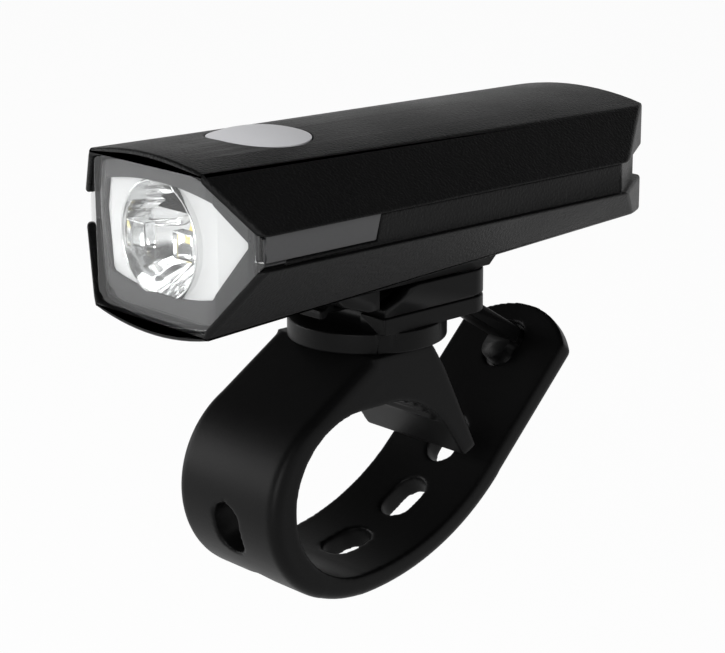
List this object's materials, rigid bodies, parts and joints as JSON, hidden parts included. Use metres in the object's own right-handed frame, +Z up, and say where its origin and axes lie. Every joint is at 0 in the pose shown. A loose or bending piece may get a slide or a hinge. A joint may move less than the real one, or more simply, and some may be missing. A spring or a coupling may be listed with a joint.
{
  "type": "bike headlight",
  "caption": "Slim faceted bicycle headlight with side windows and a top button, on a swivelling quick-release bracket held to the handlebar by a hooked rubber strap.",
  "frame": {"origin": "on the handlebar's axis, at the middle of the strap's width", "axes": "+X along the handlebar, +Y back towards the rider, +Z up; the lamp shines along -Y"},
  "size_m": [0.0408, 0.0893, 0.0705],
  "materials": {
    "strap_rubber": "satin moulded black rubber",
    "bracket_plastic": "fine-textured dark grey nylon",
    "case_plastic": "fine-textured black plastic",
    "seal_rubber": "matt dark grey elastomer",
    "screw_steel": "plated steel",
    "lens_clear": "clear polished plastic",
    "frame_plastic": "smooth mid-grey plastic",
    "reflector_silver": "vacuum-metallised plastic",
    "led_yellow": "phosphor and clear silicone",
    "sink_aluminium": "plain aluminium",
    "lead_plastic": "insulated wire",
    "board_green": "solder-masked laminate",
    "switch_plastic": "moulded plastic",
    "cell_foil": "laminated foil pouch",
    "button_silicone": "translucent light grey silicone",
    "flap_rubber": "satin black rubber"
  },
  "bodies": {
    "bracket": {"rubber_strap": "strap_rubber", "bracket_base": "bracket_plastic"},
    "swivel": {"swivel_clip": "bracket_plastic", "pivot_washer": "screw_steel", "pivot_screw": "screw_steel"},
    "tongue": {"release_tongue": "bracket_plastic"},
    "lamp": {"mount_foot": "bracket_plastic", "foot_screws": "screw_steel", "lower_case": "case_plastic", "top_cover": "case_plastic", "case_seal": "seal_rubber", "case_screws": "screw_steel", "front_lens": "lens_clear", "lens_seal": "seal_rubber", "lens_frame": "frame_plastic", "reflector": "reflector_silver", "led_emitter": "led_yellow", "led_board": "sink_aluminium", "led_screws": "screw_steel", "heat_sink": "sink_aluminium", "led_leads": "lead_plastic", "main_pcb": "board_green", "pcb_screws": "screw_steel", "tact_switch": "switch_plastic", "status_leds": "led_yellow", "usb_socket": "screw_steel", "battery": "cell_foil", "battery_pad": "seal_rubber", "battery_leads": "lead_plastic"},
    "button": {"power_button": "button_silicone", "switch_plunger": "switch_plastic"},
    "flap": {"usb_flap": "flap_rubber"}
  },
  "joints": [
    {"name": "swivel_turn", "type": "hinge", "parent": "bracket", "child": "swivel", "pos_m": [0, 0.01095, 0.0258], "axis": [0, 0, 1], "range_deg": [-15, 15]},
    {"name": "release_press", "type": "hinge", "parent": "swivel", "child": "tongue", "pos_m": [0, 0.0052, 0.02645], "axis": [1, 0, 0], "range_deg": [0, 11], "stiffness_Nm_per_rad": 0.5},
    {"name": "lamp_slide", "type": "slide", "parent": "swivel", "child": "lamp", "axis": [0, -1, 0], "range_m": [0, 0.034], "deforming": ["release_tongue"]},
    {"name": "button_press", "type": "slide", "parent": "lamp", "child": "button", "axis": [0, 0, -1], "range_m": [0, 0.0006], "stiffness_N_per_m": 4000},
    {"name": "flap_open", "type": "hinge", "parent": "lamp", "child": "flap", "pos_m": [0, 0.05865, 0.04532], "axis": [-1, 0, 0], "range_deg": [0, 120]}
  ]
}
